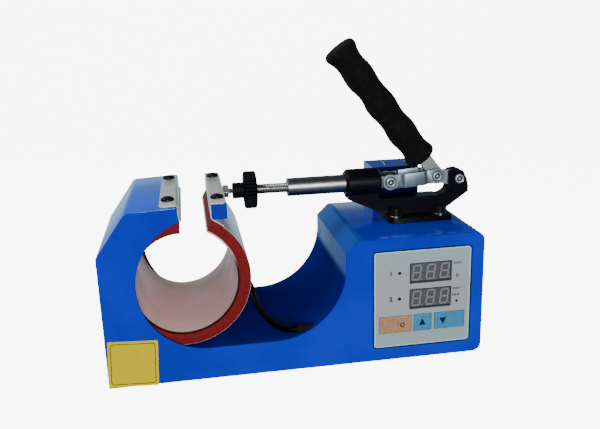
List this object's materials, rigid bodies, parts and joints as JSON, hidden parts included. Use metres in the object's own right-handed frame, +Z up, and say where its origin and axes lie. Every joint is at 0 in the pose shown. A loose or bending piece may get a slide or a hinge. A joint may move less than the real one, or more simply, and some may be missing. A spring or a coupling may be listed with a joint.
{
  "type": "mug heat press",
  "caption": "Mug heat press: a blue sheet steel housing holds a C-shaped padded heater that a toggle clamp with a rubber-gripped handle closes, beside a digital control panel.",
  "frame": {"origin": "centre of the bounding box, at the underside of the feet", "axes": "+X to the right along the housing, from the heater to the controls; +Y to the back; +Z up"},
  "size_m": [0.3288, 0.1356, 0.273],
  "materials": {
    "blue_paint": "glossy royal blue powder paint",
    "trough_paint": "glossy blue paint, in shade",
    "foot_rubber": "matt black rubber",
    "sticker_yellow": "plain yellow sticker",
    "panel_film": "grey-green satin panel film",
    "display_window": "dark display window",
    "key_orange": "orange key film",
    "key_blue": "light blue key film",
    "circuit_board": "green circuit board",
    "relay_case": "pale relay case",
    "black_plastic": "black moulded plastic",
    "rocker_red": "red rocker",
    "bright_steel": "bright steel",
    "zinc_steel": "zinc plated steel",
    "black_steel": "satin black steel",
    "red_sponge": "brick red silicone sponge",
    "heater_skin": "pale heater skin",
    "grip_rubber": "matt black rubber grip",
    "cord_black": "black rubber lead"
  },
  "bodies": {
    "housing": {"front_plate": "blue_paint", "rear_plate": "blue_paint", "tower_cover": "blue_paint", "trough_sheet": "trough_paint", "control_cover": "blue_paint", "base_plate": "blue_paint", "foot_front_left": "foot_rubber", "foot_front_right": "foot_rubber", "foot_rear_left": "foot_rubber", "foot_rear_right": "foot_rubber", "tower_sticker": "sticker_yellow", "control_panel": "panel_film", "upper_display": "display_window", "lower_display": "display_window", "controller_board": "circuit_board", "power_relay": "relay_case", "mains_inlet": "black_plastic", "switch_housing": "black_plastic", "rear_box": "blue_paint", "rear_box_screw_left": "bright_steel", "rear_box_screw_right": "bright_steel", "side_screw_front": "bright_steel", "side_screw_rear": "bright_steel", "heater_strap_left": "bright_steel", "heater_pad_left": "red_sponge", "heater_liner_left": "heater_skin", "flange_screw_left_front": "black_steel", "flange_screw_left_rear": "black_steel", "heater_lead": "cord_black", "lead_grommet": "foot_rubber", "clamp_body": "black_steel", "clamp_bolt_front_left": "black_steel", "clamp_bolt_front_right": "black_steel", "clamp_bolt_rear_left": "black_steel", "clamp_bolt_rear_right": "black_steel", "handle_pivot_pin": "zinc_steel"},
    "heater_jaw": {"heater_strap_right": "bright_steel", "heater_pad_right": "red_sponge", "heater_liner_right": "heater_skin"},
    "push_head": {"strap_flange": "bright_steel", "push_block": "blue_paint", "push_stud": "bright_steel", "stud_nut": "bright_steel", "flange_screw_right_front": "black_steel", "flange_screw_right_rear": "black_steel"},
    "push_rod": {"plunger": "bright_steel", "plunger_pin": "zinc_steel"},
    "toggle_links": {"link_front": "zinc_steel", "link_rear": "zinc_steel", "link_rivet_front": "zinc_steel", "link_rivet_rear": "zinc_steel"},
    "handle": {"handle_arm": "zinc_steel", "handle_grip": "grip_rubber"},
    "screw_tip": {"swivel_socket": "foot_rubber"},
    "adjuster": {"knob": "black_plastic", "adjust_screw": "bright_steel"},
    "set_key": {"set_key": "key_orange"},
    "up_key": {"up_key": "key_blue"},
    "down_key": {"down_key": "key_blue"},
    "rocker": {"power_rocker": "rocker_red"}
  },
  "joints": [
    {"name": "handle_swing", "type": "hinge", "parent": "housing", "child": "handle", "pos_m": [0.15565, -0.0013, 0.1459], "axis": [0, 1, 0], "range_deg": [0, 85.94]},
    {"name": "rod_slide", "type": "slide", "parent": "housing", "child": "push_rod", "axis": [1, 0, 0], "range_m": [0, 0.031]},
    {"name": "link_swing", "type": "hinge", "parent": "push_rod", "child": "toggle_links", "pos_m": [0.09015, -0.0013, 0.147], "axis": [0, 1, 0], "range_deg": [-25.6, 0]},
    {"name": "jaw_flex", "type": "hinge", "parent": "housing", "child": "heater_jaw", "pos_m": [-0.05324, -0.0013, 0.05709], "axis": [0, 1, 0], "range_deg": [0, 21]},
    {"name": "head_level", "type": "hinge", "parent": "heater_jaw", "child": "push_head", "pos_m": [-0.07315, -0.0013, 0.1382], "axis": [0, 1, 0], "range_deg": [-21, 0]},
    {"name": "knob_spin", "type": "hinge", "parent": "screw_tip", "child": "adjuster", "pos_m": [-0.02995, -0.0013, 0.147], "axis": [1, 0, 0], "range_deg": [-600, 960]},
    {"name": "screw_travel", "type": "slide", "parent": "push_rod", "child": "screw_tip", "axis": [1, 0, 0], "range_m": [-0.0025, 0.004]},
    {"name": "set_key_press", "type": "slide", "parent": "housing", "child": "set_key", "axis": [0, 1, 0], "range_m": [0, 0.0004], "stiffness_N_per_m": 400},
    {"name": "up_key_press", "type": "slide", "parent": "housing", "child": "up_key", "axis": [0, 1, 0], "range_m": [0, 0.0004], "stiffness_N_per_m": 400},
    {"name": "down_key_press", "type": "slide", "parent": "housing", "child": "down_key", "axis": [0, 1, 0], "range_m": [0, 0.0004], "stiffness_N_per_m": 400},
    {"name": "rocker_tilt", "type": "hinge", "parent": "housing", "child": "rocker", "pos_m": [0.06365, 0.0613, 0.048], "axis": [0, 0, 1], "range_deg": [-11.5, 0]}
  ],
  "couplings": [
    {"joint": "rod_slide", "follows": "handle_swing", "m_per_rad": 0.020385},
    {"joint": "link_swing", "follows": "handle_swing", "ratio": -0.29605},
    {"joint": "jaw_flex", "follows": "handle_swing", "ratio": 0.24357},
    {"joint": "head_level", "follows": "handle_swing", "ratio": -0.24357},
    {"joint": "knob_spin", "follows": "screw_travel", "rad_per_m": 4188.8}
  ]
}
